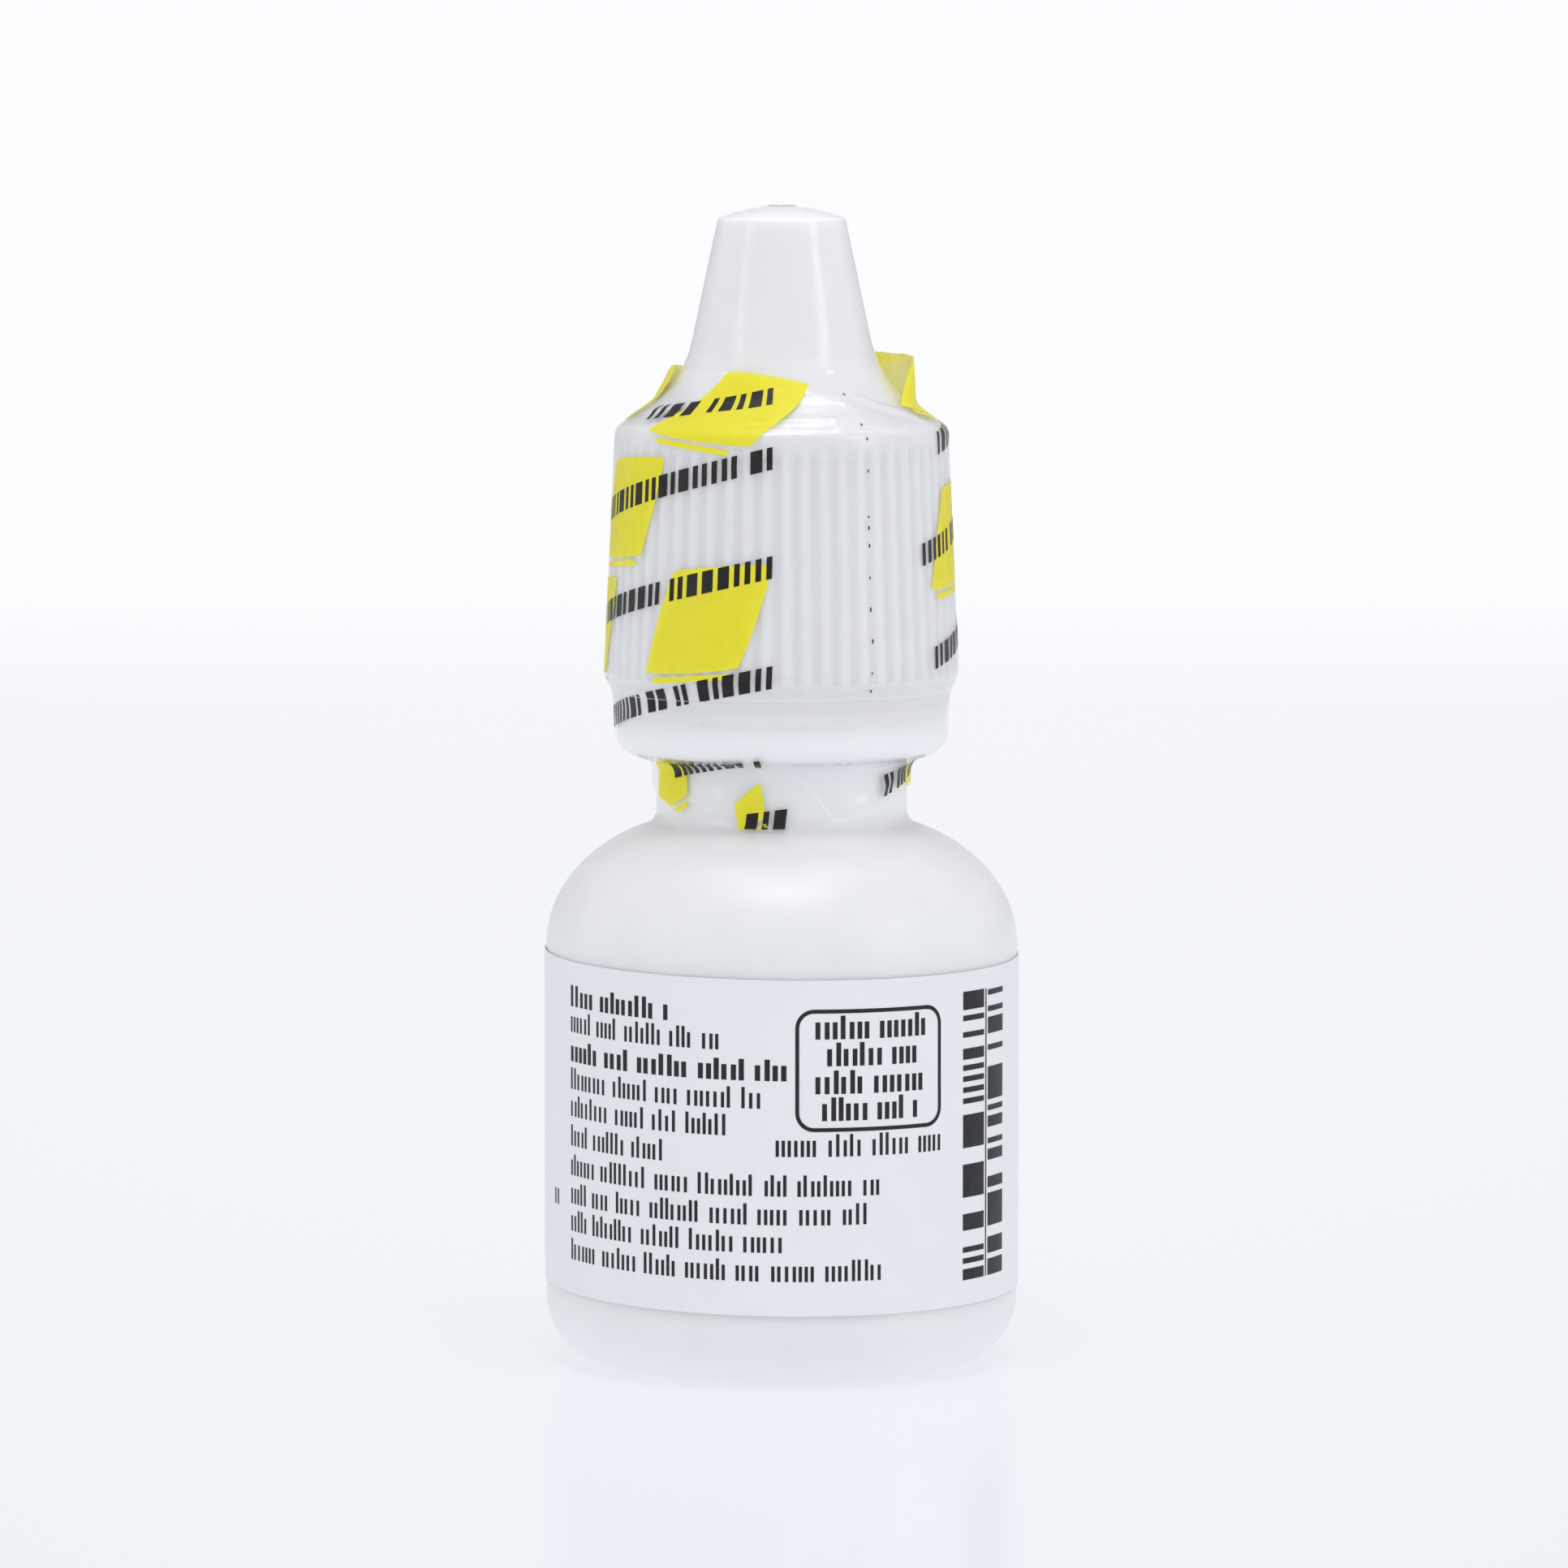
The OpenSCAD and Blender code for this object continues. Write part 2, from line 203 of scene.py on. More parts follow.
def milky_ldpe(name, thin, thick, satin, glow, glow_mm, lit_neck_tone=None):
    """Natural-white polyethylene: satin, cloudy where the wall is thicker, with light that spreads inside it, and,
    when a neck tone is given, a neck painted lighter as painted fill light for its shade.
    """
    material, tree, plastic = shader(name)
    tone = clouded(tree, 260.0, thin, thick)
    # The neck and all above it are painted lighter from 26.4 mm to 28.4 mm up: painted fill light for the shade under
    # the bead and cap.
    if lit_neck_tone:
        up_the_neck = between(tree, own_axes(tree)["Z"], 26.4 * mm, 28.4 * mm, 0.0, 1.0)
        tone = two_tones(tree, up_the_neck, tone, lit_neck_tone)
    tree.links.new(tone, plastic.inputs["Base Color"])
    fine = cloudy(tree, 1800.0, 4.0)
    tree.links.new(between(tree, fine, 0.3, 0.7, satin - 0.04, satin + 0.04), plastic.inputs["Roughness"])
    tree.links.new(grain(tree, fine, 0.012 * mm, 0.35), plastic.inputs["Normal"])
    lit_inside(plastic, 1.51, glow, (1.0, 1.0, 1.06), glow_mm)
    return material


wall, push_up = 0.9, 0.8
body_r, foot_r, push_up_r, neck_r, bore_r = 12.05, 7.65, 5.25, 6.5, 5.0
shoulder_r, shoulder_z, bead_low, bead_high, land_z = 3.85, 21.35, 31.2, 33.6, 47.2


def shoulder_arc(reach, rise, top_reach, steps):
    """The shoulder as a stretch of an ellipse, from the body's wall up to top_reach out from its centre."""
    turn = math.acos(top_reach / reach)
    return [(shoulder_r + reach * math.cos(turn * k / steps), shoulder_z + rise * math.sin(turn * k / steps), 0.0)
            for k in range(steps + 1)]


outer_shoulder = shoulder_arc(8.2, 6.65, 2.55, 24)
inner_shoulder = shoulder_arc(7.3, 5.75, 1.15, 20)
outside_base = [(0, push_up, 0), (push_up_r, push_up, 1.6), (foot_r, 0, 0.3), (body_r, 0, 3.25)]
neck_and_bead = [(*outer_shoulder[-1][:2], 0.8), (6.4, bead_low, 0.15), (8.42, bead_low, 1.2),
                 (8.36, bead_high, 0.15), (neck_r, bead_high, 0.15), (neck_r, land_z, 0.2), (bore_r, land_z, 0.2)]
inside_base = [(body_r - wall, wall, 2.35), (foot_r, wall, 0.3), (push_up_r, push_up + wall, 1.6),
               (0, push_up + wall, 0)]
bottle_outline = fill_straights(moulded_outline(
    outside_base + outer_shoulder[:-2] + neck_and_bead + inner_shoulder[::-1] + inside_base, 6.0), 0.6)

drawn_in, line_high, line_wide = 0.026, 0.03, 0.12
seam_deep, seam_wide, seam_reach = 0.22, 0.22, 4.6


def soft_wall(r, z, a):
    """The blown wall: a slight waver in the body, the parting line up both sides and the seam under the base."""
    body = max(0.0, min(1.0, (r - 9.0) / 2.5))
    uneven = 0.012 * math.sin(2 * a + 0.7) * math.sin(z * 0.31 + 1.1) + 0.008 * math.sin(3 * a - z * 0.22)
    line, seam = 0.0, 0.0
    if r > 6.45 and z > 1.2:
        line = line_high * math.exp(-(abs(math.sin(a)) * r / line_wide) ** 2)
    if r < seam_reach and z < 1.0:
        seam = seam_deep * math.exp(-(r * math.sin(a) / seam_wide) ** 2) * (1 - (r / seam_reach) ** 4)
    return r + body * (uneven - drawn_in) + line, z - seam


# The bottle's neck tone is lighter than its body: painted fill light for the shaded neck.
bottle_milk = milky_ldpe("milky_ldpe_bottle", (0.80, 0.806, 0.825), (0.775, 0.782, 0.803), 0.34, 0.7, 1.1,
                         lit_neck_tone=(0.872, 0.877, 0.89))
bottle = turned("bottle_moulding", bottle_outline, 288, bottle_milk, soft_wall)
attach(bottle, "bottle")
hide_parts("bottle")


# The thread on the bottle's finish: two right-hand turns of a rounded ridge, moulded in one with the neck in the
# same natural-white LDPE. It runs in and out over a short ramp, as a blown 12-turns-per-inch thread does.

pitch, thread_low, thread_crest_r = 2.117, 41.6, 7.33


def screw_ridge(name, root_r, crest_r, low_z, turns, root_w, crest_w, material):
    """A helical ridge whose root is sunk a little into the wall at root_r and whose crest is at crest_r."""
    ramp_deg, sink, flank, corners = 35.0, 0.08, 0.82, 8
    outward = crest_r > root_r
    sunk_r = root_r - sink if outward else root_r + sink
    steps = int(turns * 72)
    vertices, faces = [], []
    for k in range(steps + 1):
        deg = 360.0 * turns * k / steps
        rise = math.sin(max(0.0, min(1.0, deg / ramp_deg, (360.0 * turns - deg) / ramp_deg)) * math.pi / 2)
        a = math.radians(deg)
        z = low_z + pitch * deg / 360.0
        tip_r = root_r + (crest_r - root_r) * rise
        flank_r = root_r + (crest_r - root_r) * rise * flank
        under = ((sunk_r, -root_w / 2), (root_r, -root_w / 2), (flank_r, -crest_w / 2 * 1.2),
                 (tip_r, -crest_w / 2 * 0.6))
        for r, dz in under + tuple((r, -dz) for r, dz in under[::-1]):
            vertices.append((r * math.cos(a), r * math.sin(a), z + dz))
    for k in range(steps):
        for j in range(corners):
            a, b = k * corners + j, k * corners + (j + 1) % corners
            faces.append((a, b, b + corners, a + corners) if outward else (b, a, a + corners, b + corners))
    start, end = tuple(range(corners)), tuple(range(steps * corners, (steps + 1) * corners))
    faces += [start[::-1], end] if outward else [start, end[::-1]]
    return new_piece(name, vertices, faces, material, 50.0)


bottle_thread = screw_ridge("bottle_thread", neck_r, thread_crest_r, thread_low, 2.0, 1.15, 0.5, bottle_milk)
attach(bottle_thread, "bottle")


# The dropper tip: a soft LDPE plug with two sealing ribs, a flange and a tapered nozzle with a fine metering hole,
# injection moulded in natural polyethylene and pressed into the bottle's bore until its flange meets the land.

tip_milk = milky_ldpe("milky_ldpe_tip", (0.80, 0.815, 0.84), (0.77, 0.785, 0.81), 0.30, 0.2, 0.6)
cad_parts["dropper_tip"].material_slots[0].material = tip_milk


# The screw cap: hard white polypropylene, injection moulded, with a finely fluted skirt, a sloped shoulder and a
# tall plain spire that shines. The gate leaves a small witness ring on its low dome, and the mould's core leaves
# a turn and three quarters of thread in its bore, which lies between the bottle's turns when the cap is down.

cap_white, cap_tree, cap_plastic = shader("white_polypropylene")
cap_height = own_axes(cap_tree)["Z"]
# The dome and the spire's top are painted lighter from 58.25 mm up: a painted highlight for the light from above.
lit_dome = between(cap_tree, cap_height, 58.25 * mm, 58.6 * mm, 0.0, 1.0)
cap_tone = clouded(cap_tree, 320.0, (0.80, 0.802, 0.815), (0.785, 0.787, 0.801))
cap_tree.links.new(two_tones(cap_tree, lit_dome, cap_tone, (0.885, 0.887, 0.9)), cap_plastic.inputs["Base Color"])


def reckoned(tree, operation, one, other):
    """One number out of two by a Math node. Each is a number or another node's output."""
    node = tree.nodes.new("ShaderNodeMath")
    node.operation = operation
    feed(tree, node.inputs[0], one)
    feed(tree, node.inputs[1], other)
    return node.outputs["Value"]


cap_fine = cloudy(cap_tree, 2600.0, 3.0)
cap_polish = between(cap_tree, cap_fine, 0.3, 0.7, 0.14, 0.20)
duller_skirt = between(cap_tree, cap_height, 47.2 * mm, 47.9 * mm, 0.36, 0.0)
cap_tree.links.new(reckoned(cap_tree, "ADD", cap_polish, duller_skirt), cap_plastic.inputs["Roughness"])
cap_tree.links.new(grain(cap_tree, cap_fine, 0.004 * mm, 0.15), cap_plastic.inputs["Normal"])
lit_inside(cap_plastic, 1.49, 0.95, (1.0, 1.0, 1.0), 1.0)
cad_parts["screw_cap"].material_slots[0].material = cap_white

cap_top, dome_edge_r, dome_rise = 59.11, 3.25, 0.63
dome_ball_r = (dome_edge_r ** 2 + dome_rise ** 2) / (2 * dome_rise)


def dome_z(r):
    """The height of the cap's low dome at a distance from the axis."""
    return cap_top - dome_ball_r + math.sqrt(dome_ball_r ** 2 - r ** 2)


# The gate mark's rows: distance from the axis and height over the dome, in mm
ring_rows = [(0.56, -0.016), (0.64, 0.003), (0.70, 0.012), (0.76, 0.003), (0.84, -0.016)]
ring_around = 48
ring_points, ring_faces = [], []
for i, (r, rise) in enumerate(ring_rows):
    a, b = i * ring_around, (i + 1) % len(ring_rows) * ring_around
    for k in range(ring_around):
        turn, k2 = 2 * math.pi * k / ring_around, (k + 1) % ring_around
        ring_points.append((r * math.cos(turn), r * math.sin(turn), dome_z(r) + rise))
        ring_faces.append((a + k, b + k, b + k2, a + k2))
gate_ring = new_piece("gate_ring", ring_points, ring_faces, cap_white, 60.0)
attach(gate_ring, "cap")

cap_thread = screw_ridge("cap_thread", 7.55, 6.78, thread_low - pitch / 2, 1.75, 1.05, 0.45, cap_white)
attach(cap_thread, "cap")


# The neckband's sleeve: a clear glossy film tube, heat shrunk over the cap's shoulder, ribbed skirt and the gap
# under it. It takes the ribs' form, bridges the hollow under the spire, and on the right its top has sprung
# away from the shoulder as a stiff upright flap. A lengthwise row of pin holes lets it tear; the holes are not
# cut but drawn as tiny black specks, painted shade for the holes.

film_thick, rib_count, rib_deep = 0.06, 55, 0.018
tear_z, skirt_corner_z = 34.4, 47.0
skirt_foot, skirt_top = (9.005, 35.31), (8.441, 47.752)
tight_way = np.array(moulded_outline(
    [(7.3, 27.50, 0), (6.50, 27.74, 0.74), (6.52, 31.12, 0.8), (8.48, 31.12, 1.26), (8.49, 33.7, 0.6),
     (8.585, tear_z, 0), (*skirt_foot, 0.35), (*skirt_top, 0.54), (5.825, 49.582, 3.0), (5.36, 50.86, 0)], 5.0))
standing_way = np.array(moulded_outline(
    [(*skirt_foot, 0), (*skirt_top, 0.54), (6.74, 48.942, 0.85), (6.60, 51.48, 0)], 5.0))


def lengths(way):
    """How far along its way each point lies."""
    steps = np.hypot(*np.diff(way, axis=0).T)
    return np.concatenate(([0.0], np.cumsum(steps)))


def rise_and_fall(x, start, full, full_end, end):
    """0 outside start to end, 1 from full to full_end, and smooth between them."""
    t = np.clip(np.minimum((x - start) / (full - start), (end - x) / (end - full_end)), 0.0, 1.0)
    return t * t * (3 - 2 * t)


# A length up the film is counted from the tear line, in mm along its way
tight_far = lengths(tight_way)
tight_far -= tight_far[np.argmin(abs(tight_way[:, 1] - tear_z))]
lift_at = tight_far[(tight_way[:, 1] > skirt_corner_z) & (tight_far > 0)][0]
top_at = tight_far[-1]
standing_way = standing_way[standing_way[:, 1] > skirt_corner_z]
standing_far = lengths(standing_way)
standing_far /= standing_far[-1]


def film_section(deg, s):
    """The inner face of the film at directions and lengths above the tear line, before folds: r and z."""
    turn = (deg + 180.0) % 360.0 - 180.0
    share = rise_and_fall(turn, 46.0, 84.0, 144.0, 174.0) + 0.10 * rise_and_fall(turn, -120.0, -88.0, -76.0, -52.0)
    up = np.clip((s - lift_at) / (top_at - lift_at), 0.0, 1.0)
    share = share * (up > 0)
    r, z = np.interp(s, tight_far, tight_way[:, 0]), np.interp(s, tight_far, tight_way[:, 1])
    r2, z2 = np.interp(up, standing_far, standing_way[:, 0]), np.interp(up, standing_far, standing_way[:, 1])
    return r + (r2 - r) * share, z + (z2 - z) * share


# Folds: direction, length up the film, slant, half length, half width and height, in degrees and mm
folds = [
    (-40.0, -7.3, 35.0, 1.5, 0.28, 0.20), (-25.0, -6.6, 20.0, 1.2, 0.35, 0.12), (14.0, -6.7, 125.0, 1.3, 0.26, 0.22),
    (9.0, -6.0, 60.0, 1.0, 0.30, 0.12), (48.0, -6.1, 30.0, 1.6, 0.35, 0.14), (-66.0, -5.6, 70.0, 1.2, 0.35, 0.12),
    (110.0, -6.3, 40.0, 1.6, 0.35, 0.16), (160.0, -6.8, 130.0, 1.4, 0.30, 0.18), (-140.0, -6.4, 50.0, 1.5, 0.32, 0.16),
    (6.0, 14.55, 4.0, 2.6, 0.22, 0.07), (-2.0, 13.85, -3.0, 1.6, 0.16, 0.05), (21.0, 14.0, 80.0, 0.5, 0.22, 0.06),
    (28.0, 16.6, 118.0, 1.0, 0.30, 0.10), (52.0, 15.4, 150.0, 1.9, 0.20, 0.20), (62.0, 14.5, 148.0, 1.4, 0.18, 0.14),
    (-58.0, 15.2, 20.0, 1.5, 0.28, 0.10), (-92.0, 16.9, 70.0, 0.9, 0.30, 0.14), (-140.0, 15.1, 160.0, 1.8, 0.25, 0.10),
    (176.0, 15.8, 30.0, 1.6, 0.26, 0.12), (24.0, 3.1, 55.0, 0.5, 0.22, 0.05), (-16.0, 11.9, 0.0, 0.4, 0.25, 0.05),
]


def film_points(deg, s, out):
    """Points of the film, out mm proud of its inner face, with its folds, its waver and the ribs under it."""
    deg, s = np.asarray(deg, float), np.asarray(s, float)
    near = 0.08
    r, z = film_section(deg, s)
    r1, z1 = film_section(deg, s - near)
    r2, z2 = film_section(deg, s + near)
    along = np.maximum(1e-9, np.hypot(r2 - r1, z2 - z1))
    nr, nz = (z2 - z1) / along, -(r2 - r1) / along
    lift = np.zeros_like(r)
    for at, up, slant, half, width, high in folds:
        x, y = np.radians((deg - at + 180.0) % 360.0 - 180.0) * r, s - up
        c, d = math.cos(math.radians(slant)), math.sin(math.radians(slant))
        lift += high * np.exp(-((y * c - x * d) / width) ** 2 - ((x * c + y * d) / half) ** 4)
    loose = rise_and_fall(s, -8.5, -6.8, -4.6, -3.2) + rise_and_fall(s, -2.2, -0.6, 0.2, 1.2) * 0.5
    loose += rise_and_fall(s, lift_at, lift_at + 1.8, top_at + 1, top_at + 2)
    wave = np.sin(np.radians(5 * deg + 40)) * np.sin(s * 1.3) + np.sin(np.radians(11 * deg) + s * 0.9)
    lift += loose * (0.045 + 0.022 * wave)
    ribs = 0.5 + 0.5 * np.cos(np.radians(rib_count * (deg - 90.0)))
    lift -= rib_deep * rise_and_fall(s, 1.0, 1.6, 12.4, 13.2) * ribs
    rr, zz = r + nr * (lift + out), z + nz * (lift + out)
    a = np.radians(deg)
    return np.stack((rr * np.sin(a), -rr * np.cos(a), zz), axis=-1)


def film_piece(name, low, high, rows, around, material):
    """A closed tube of film between two edges, which low and high give as lengths for a direction."""
    deg = np.tile(360.0 * np.arange(around) / around - 180.0, rows + 1)
    up = np.repeat(np.arange(rows + 1) / rows, around)
    s = low(deg) + (high(deg) - low(deg)) * up
    vertices = np.concatenate([film_points(deg, s, film_thick * face) for face in (0, 1)])
    faces = []
    layer, top = (rows + 1) * around, rows * around
    for i in range(rows):
        for k in range(around):
            k2 = (k + 1) % around
            a, b = i * around, (i + 1) * around
            faces.append((a + k, b + k, b + k2, a + k2))
            faces.append((layer + a + k, layer + a + k2, layer + b + k2, layer + b + k))
    for k in range(around):
        k2 = (k + 1) % around
        faces.append((k, k2, layer + k2, layer + k))
        faces.append((top + k, layer + top + k, layer + top + k2, top + k2))
    return new_piece(name, vertices, faces, material, 60.0)


# How milky the film is painted at each height in mm: a faint haze on the neck, and painted fill light, most where it
# bridges the shaded gap under the cap and again over the skirt
haze_and_fill_steps = ((28.0, 0.05), (33.0, 0.06), (33.55, 0.86), (34.45, 0.86), (34.95, 0.42), (35.6, 0.26), (46.5, 0.28),
              (47.2, 0.52), (47.8, 0.46), (48.3, 0.0))
haze_low, haze_high = 25.0, 50.0


def one_colour(tree, kind, colour):
    """A plain finish of one colour, such as a Diffuse BSDF node's output."""
    node = tree.nodes.new(kind)
    node.inputs["Color"].default_value = (*colour, 1)
    return node.outputs[0]


def blended(tree, share, one, other):
    """A finish that goes from one to the other with the share, which is a number or another node's output."""
    blend = tree.nodes.new("ShaderNodeMixShader")
    feed(tree, blend.inputs["Fac"], share)
    tree.links.new(one, blend.inputs[1])
    tree.links.new(other, blend.inputs[2])
    return blend.outputs["Shader"]


def clear_film():
    """Clear film: a mirror's share that grows edge on, duller on the ribs, and painted milky white by height, as
    painted fill light most over the shaded gap under the cap.
    """
    material, tree, gloss = shader("clear_shrink_film")
    height = own_axes(tree)["Z"]
    gloss.inputs["Base Color"].default_value = (0.96, 0.965, 0.98, 1)
    gloss.inputs["Metallic"].default_value = 1.0
    streaks = cloudy(tree, 700.0, 3.0, stretch=(1, 1, 0.25))
    over_ribs = reckoned(tree, "MULTIPLY", between(tree, height, 34.6 * mm, 35.6 * mm, 0.0, 1.0),
                         between(tree, height, 46.6 * mm, 47.6 * mm, 0.22, 0.0))
    tree.links.new(reckoned(tree, "ADD", between(tree, streaks, 0.3, 0.7, 0.09, 0.17), over_ribs),
                   gloss.inputs["Roughness"])
    tree.links.new(grain(tree, streaks, 0.01 * mm, 0.4), gloss.inputs["Normal"])
    clear = one_colour(tree, "ShaderNodeBsdfTransparent", (0.998, 0.998, 0.999))
    fill_white = one_colour(tree, "ShaderNodeBsdfDiffuse", (0.965, 0.967, 0.975))
    lit_through = one_colour(tree, "ShaderNodeBsdfTranslucent", (0.965, 0.967, 0.975))
    haze_and_fill = tree.nodes.new("ShaderNodeValToRGB")
    steps = haze_and_fill.color_ramp.elements
    for at, share in haze_and_fill_steps:
        steps.new((at - haze_low) / (haze_high - haze_low)).color = (share, share, share, 1)
    steps.remove(steps[0])
    steps.remove(steps[-1])
    tree.links.new(between(tree, height, haze_low * mm, haze_high * mm, 0.0, 1.0), haze_and_fill.inputs["Fac"])
    # The milky part is painted fill light: white that stands in for light in the shade under the cap and on the skirt.
    body = blended(tree, haze_and_fill.outputs["Color"], clear, blended(tree, 0.35, fill_white, lit_through))
    edge_on = tree.nodes.new("ShaderNodeLayerWeight")
    edge_on.inputs["Blend"].default_value = 0.5
    steep = reckoned(tree, "POWER", edge_on.outputs["Facing"], 5.0)
    shine = reckoned(tree, "ADD", between(tree, steep, 0.0, 1.0, 0.0, 0.53),
                     between(tree, height, 47.2 * mm, 48.2 * mm, 0.022, 0.042))
    tree.links.new(blended(tree, shine, body, gloss.outputs["BSDF"]), tree.nodes["Material Output"].inputs["Surface"])
    return material


def tear_line(deg):
    """The lower edge of the sleeve."""
    return 0.0 * deg


def top_edge(deg):
    """The upper edge of the sleeve, which the knife left a little uneven."""
    return top_at - 0.03 + 0.035 * np.sin(np.radians(3 * deg + 20)) + 0.02 * np.sin(np.radians(17 * deg))


film = clear_film()
sleeve = film_piece("neckband_sleeve_film", tear_line, top_edge, 118, 660, film)
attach(sleeve, "cap")
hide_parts("neckband_sleeve")


# The neckband's ring: the rest of the same film, shrunk over the transfer bead and gathered round the neck, where
# its cut hem hangs uneven and stands in small folds. It stays on the bottle when the cap is turned off.

# The hem's height in mm at each direction in degrees
hem_heights = [(-180, 28.9), (-150, 28.4), (-115, 28.7), (-98, 29.4), (-83, 29.71), (-71, 29.16), (-59, 28.78),
               (-48, 28.10), (-39, 27.99), (-27, 27.76), (1, 27.78), (20, 28.0), (31, 28.5), (62, 29.28),
               (80, 29.74), (105, 29.3), (140, 28.6), (180, 28.9)]
# The part of the film's way that the hem can lie on: the neck, without the first points of the flare at its foot
hem_way = tight_way[:, 1] < 31.0
hem_way[:3] = False


def hem(deg):
    """The hem's place as a length below the tear line."""
    z = np.interp(deg, *np.transpose(hem_heights))
    return np.interp(z, tight_way[hem_way, 1], tight_far[hem_way])


def torn_edge(deg):
    """The ring's upper edge, just under the tear line."""
    return -0.01 + 0.0 * deg


neck_ring = film_piece("neckband_ring_film", hem, torn_edge, 56, 480, film)
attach(neck_ring, "torn_ring")
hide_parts("neckband_ring")


# The neckband's print: yellow lozenges with a slim bar beside them, and slanted rows of black dashes, flexo printed
# on the film before it was shrunk, so the ink lies on it everywhere and follows its folds.

def ink(name, thin, thick, cover, glow):
    """Printing ink on film: glossy, a little uneven in density, not quite opaque, and lit through by its glow."""
    material, tree, coat = shader(name)
    speckle = between(tree, cloudy(tree, 1500.0, 4.0), 0.35, 0.65, 0.0, 1.0)
    tree.links.new(two_tones(tree, speckle, thin, thick), coat.inputs["Base Color"])
    tree.links.new(between(tree, cloudy(tree, 900.0, 2.0), 0.3, 0.7, 0.24, 0.36), coat.inputs["Roughness"])
    coat.inputs["Alpha"].default_value = cover
    coat.inputs["Specular IOR Level"].default_value = 0.18
    if glow > 0:
        lit_through = one_colour(tree, "ShaderNodeBsdfTranslucent", thin)
        tree.links.new(blended(tree, glow, coat.outputs["BSDF"], lit_through),
                       tree.nodes["Material Output"].inputs["Surface"])
    return material


yellow_ink = ink("yellow_film_ink", (0.96, 0.885, 0.055), (0.92, 0.85, 0.047), 0.97, 0.25)
black_ink = ink("black_film_ink", (0.010, 0.009, 0.009), (0.018, 0.016, 0.015), 0.98, 0.0)


def laid_out(centre_deg, centre_s, slant):
    """What turns mm along and up a slant from a centre on the film into a direction and a length up the film."""
    base_r = float(film_section(centre_deg, centre_s)[0])
    c, d = math.cos(math.radians(slant)), math.sin(math.radians(slant))
    return lambda x, y: (centre_deg + math.degrees((x * c - y * d) / base_r), centre_s + x * d + y * c)


def spot(centre_deg, centre_s, half_along, half_up, slant, sharpness):
    """A soft-cornered lozenge as (direction, length) points round its centre, and its faces."""
    spokes, rings = 96, 26
    at = laid_out(centre_deg, centre_s, slant)
    places, faces = [], []
    for i in range(rings + 1):
        share = max(1e-4, i / rings)
        for k in range(spokes):
            t = 2 * math.pi * k / spokes
            far = abs(math.cos(t) / half_along) ** sharpness + abs(math.sin(t) / half_up) ** sharpness
            reach = share * far ** (-1 / sharpness)
            places.append(at(reach * math.cos(t), reach * math.sin(t)))
            if i > 0:
                a, b = len(places) - 1 - spokes, len(places) - 1
                a2, b2 = (a - spokes + 1, b - spokes + 1) if k == spokes - 1 else (a + 1, b + 1)
                faces.append((a, b, b2, a2))
    return places, faces


def bar(centre_deg, centre_s, half_along, half_up, slant, lean=0.0):
    """A slanted bar as a grid of (direction, length) points, and its faces."""
    across = max(1, math.ceil(half_along / 0.22))
    up = max(3, math.ceil(half_up / 0.07))
    at = laid_out(centre_deg, centre_s, slant)
    places, faces = [], []
    for j in range(up + 1):
        for i in range(across + 1):
            y = half_up * (2 * j / up - 1)
            places.append(at(half_along * (2 * i / across - 1) + lean * y, y))
    for j in range(up):
        for i in range(across):
            a = j * (across + 1) + i
            faces.append((a, a + 1, a + across + 2, a + across + 1))
    return places, faces


bare_rim = 0.02


def printed(name, shapes, low, high, proud, material, body):
    """Ink shapes laid on the film between its edges low and high, which stay bare by a hair."""
    places = np.array([p for own_places, own_faces in shapes for p in own_places])
    faces, start = [], 0
    for own_places, own_faces in shapes:
        faces += [tuple(start + i for i in f) for f in own_faces]
        start += len(own_places)
    turn = (places[:, 0] + 180.0) % 360.0 - 180.0
    bottom, top = low(turn) + bare_rim, high(turn) - bare_rim
    inside = (places[:, 1] > bottom) & (places[:, 1] < top)
    faces = [f for f in faces if any(inside[i] for i in f)]
    vertices = film_points(places[:, 0], np.clip(places[:, 1], bottom, top), film_thick + proud)
    used = sorted({i for f in faces for i in f})
    place = {old: new for new, old in enumerate(used)}
    piece = new_piece(name, vertices[used], [tuple(place[i] for i in f) for f in faces], material, 89.0)
    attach(piece, body)


# Lozenges: direction, length up the film, half length, half width and slant, in degrees and mm
lozenges = []
bar_gap, bar_share, bar_half_wide = 0.42, 0.42, 0.14
for at, s, along, up, slant in (
        (-26.0, 4.2, 4.5, 3.0, 38.0), (-66.0, 9.6, 4.3, 2.9, 38.0), (-20.0, 15.4, 4.4, 2.7, 24.0),
        (-92.0, 3.4, 4.2, 2.8, 38.0), (-58.0, -5.5, 2.2, 1.5, 60.0), (-14.0, -6.9, 1.5, 0.8, 70.0),
        (82.0, 8.2, 4.4, 2.9, 38.0), (124.0, 2.8, 4.3, 2.8, 38.0), (106.0, 16.6, 5.2, 2.9, 12.0),
        (84.0, -5.7, 2.1, 1.5, 60.0), (140.0, 11.4, 4.3, 2.8, 38.0), (186.0, 5.8, 4.3, 2.8, 38.0),
        (230.0, 11.4, 4.3, 2.8, 38.0), (222.0, 1.2, 4.2, 2.7, 38.0), (236.0, -5.7, 2.1, 1.4, 60.0),
        (192.0, 15.6, 4.0, 2.5, 25.0), (258.0, 16.0, 3.6, 2.3, 30.0)):
    lozenges.append(spot(at, s, along, up, slant, 1.08))
    side = math.hypot(along, up)
    bar_place = laid_out(at, s, slant)(-along / 2 - bar_gap * up / side, -up / 2 - bar_gap * along / side)
    lozenges.append(bar(*bar_place, bar_share * side, bar_half_wide, slant - math.degrees(math.atan2(up, along))))

